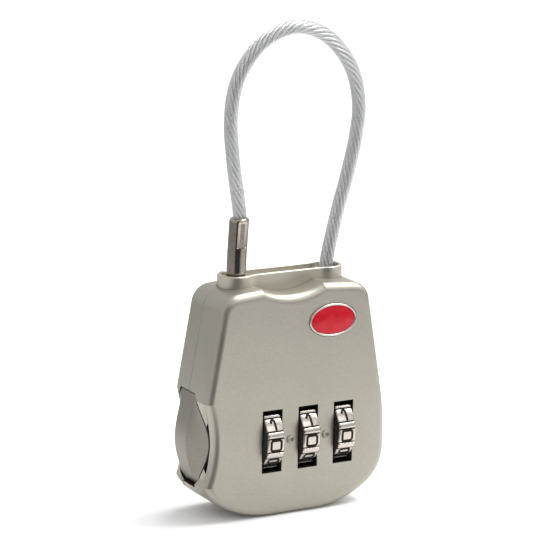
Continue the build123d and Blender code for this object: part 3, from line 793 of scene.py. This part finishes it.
def add_dials(inside):
    """The three wheels and their numerals, which turn together."""
    metal = dial_metal()
    ink = dial_ink()
    for side in ("left", "centre", "right"):
        wheel = dial_ring("dial_" + side, metal, inside)
        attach(wheel, side + "_wheel")
        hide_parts("dial_" + side)
        digits = dial_digits("dial_" + side, ink)
        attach(digits, side + "_wheel")


def add_inlay(nickel):
    rim, face = enamel_face(nickel, red_enamel())
    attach(rim, "housing")
    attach(face, "housing")
    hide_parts("enamel_inlay")


def add_ejector(spring):
    """The ejector spring, which stretches from its seat in the housing up to the plug."""
    coil = ejector_coil(spring)
    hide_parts("ejector_spring")
    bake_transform(coil)


def build_lock():
    nickel = bright_nickel()
    spring = spring_steel()
    inside = painted_shade_metal()
    paint_cad(nickel, spring, inside)
    add_cable()
    add_plug()
    add_dials(inside)
    add_inlay(nickel)
    add_ejector(spring)


# ---- Stage ----

def in_reflections(nodes, links, value):
    """The value for the rays of glossy reflections, and zero for all others."""
    path = nodes.new("ShaderNodeLightPath")
    masked = nodes.new("ShaderNodeMath")
    masked.operation = "MULTIPLY"
    links.new(value, masked.inputs[0])
    links.new(path.outputs["Is Glossy Ray"], masked.inputs[1])
    return masked.outputs["Value"]


def darkness(nodes, links, direction, sign):
    """How far a reflection looks at the dark side of the studio, behind and beside the camera."""
    facing = nodes.new("ShaderNodeVectorMath")
    facing.operation = "DOT_PRODUCT"
    facing.inputs[1].default_value = sign * Vector((-math.sin(DARK_TURN), -math.cos(DARK_TURN), 0))
    links.new(direction, facing.inputs[0])
    ramp = map_range(nodes, links, facing.outputs["Value"], (DARK_FROM, DARK_TO), curve="SMOOTHSTEP")
    return in_reflections(nodes, links, ramp)


def paper_shade_in_reflections(nodes, links, place, paper):
    """The paper's colour, with painted shade that only reflections see, darker with the distance from the
    lock.
    """
    distance = nodes.new("ShaderNodeVectorMath")
    distance.operation = "LENGTH"
    links.new(place, distance.inputs[0])
    ramp = map_range(nodes, links, distance.outputs["Value"], (PAPER_NEAR, PAPER_FAR), (0, PAPER_REFLECTED_SHADE))
    return mix_colours(nodes, links, in_reflections(nodes, links, ramp), paper, (0, 0, 0))


def floor_material():
    """Matt white paper, with a faint mottling; in reflections it carries painted shade, which grows away from
    the lock and turns near black towards the camera.
    """
    material, nodes, links, shader = new_material("floor")
    soft = noise(nodes, links, 30)
    paper = tint(nodes, links, soft, dark=(0.90, 0.90, 0.90), light=(0.93, 0.93, 0.93))
    geometry = nodes.new("ShaderNodeNewGeometry")
    shaded_paper = paper_shade_in_reflections(nodes, links, geometry.outputs["Position"], paper)
    # Painted shade: reflections that travel towards the camera's side see the paper near black
    shade = darkness(nodes, links, geometry.outputs["Incoming"], -1)
    links.new(mix_colours(nodes, links, shade, shaded_paper, (0.02, 0.02, 0.02)), shader.inputs["Base Color"])
    links.new(remap(nodes, links, soft, 0.7, 0.85), shader.inputs["Roughness"])
    shader.inputs["Specular IOR Level"].default_value = 0.2
    return material


def add_floor():
    """A plain pale floor under the foot."""
    corners = [(-1, -1), (1, -1), (1, 1), (-1, 1)]
    points = [(x * PAPER_HALF, y * PAPER_HALF, 0) for x, y in corners]
    floor = add_piece("floor", points, [(0, 1, 2, 3)], floor_material())
    floor.location.z = bounds_at_load[0][2] - PAPER_GAP * MM


def add_softbox(name, place, target, size, power):
    """A rectangular area light at a place, aimed at a target."""
    light = bpy.data.lights.new(name, "AREA")
    light.shape = "RECTANGLE"
    light.size, light.size_y = size
    light.energy = power
    lamp = bpy.data.objects.new(name, light)
    lamp.location = place
    lamp.rotation_euler = (Vector(target) - Vector(place)).to_track_quat("-Z", "Y").to_euler()
    bpy.context.scene.collection.objects.link(lamp)


def add_world():
    """White for the camera; for other rays, a bright room, and dark behind the camera in reflections."""
    world = bpy.data.worlds.new("studio")
    bpy.context.scene.world = world
    world.use_nodes = True
    nodes = world.node_tree.nodes
    links = world.node_tree.links
    background = nodes["Background"]
    place = nodes.new("ShaderNodeTexCoord")
    room = nodes.new("ShaderNodeMix")
    room.inputs["A"].default_value = ROOM_LIGHT
    room.inputs["B"].default_value = ROOM_DARK
    path = nodes.new("ShaderNodeLightPath")
    choose = nodes.new("ShaderNodeMix")
    choose.inputs["B"].default_value = 1.0
    links.new(darkness(nodes, links, place.outputs["Generated"], 1), room.inputs["Factor"])
    links.new(path.outputs["Is Camera Ray"], choose.inputs["Factor"])
    links.new(room.outputs["Result"], choose.inputs["A"])
    links.new(choose.outputs["Result"], background.inputs["Strength"])
    background.inputs["Color"].default_value = (1, 1, 1, 1)


def camera_forward():
    """The direction from the camera to its target."""
    flat = math.cos(CAMERA_TILT)
    return Vector((math.sin(CAMERA_TURN) * flat, math.cos(CAMERA_TURN) * flat, -math.sin(CAMERA_TILT)))


def add_camera():
    """The long-lens camera, aimed so that the target stands below the middle of the picture."""
    forward = camera_forward()
    level = Vector((math.cos(CAMERA_TURN), -math.sin(CAMERA_TURN), 0))
    upright = level.cross(forward)
    right = math.cos(CAMERA_ROLL) * level + math.sin(CAMERA_ROLL) * upright
    up = -math.sin(CAMERA_ROLL) * level + math.cos(CAMERA_ROLL) * upright
    offset = math.tan(AIM_ABOVE_TARGET) * up - math.tan(AIM_LEFT_OF_TARGET) * right
    aim = (forward + offset).normalized()
    right = (right - aim * right.dot(aim)).normalized()
    up = right.cross(aim)
    data = bpy.data.cameras.new("camera")
    data.lens = LENS_MM
    data.sensor_width = SENSOR_MM
    data.clip_start = 0.01
    camera = bpy.data.objects.new("camera", data)
    turn = Matrix((right, up, -aim)).transposed().to_4x4()
    camera.matrix_world = Matrix.Translation(CAMERA_TARGET - forward * CAMERA_DISTANCE) @ turn
    bpy.context.scene.collection.objects.link(camera)
    bpy.context.scene.camera = camera


def build_stage():
    add_floor()
    add_world()
    for softbox in SOFTBOXES:
        add_softbox(*softbox)
    bpy.context.scene.view_settings.view_transform = "Standard"
    add_camera()


build_lock()
build_stage()
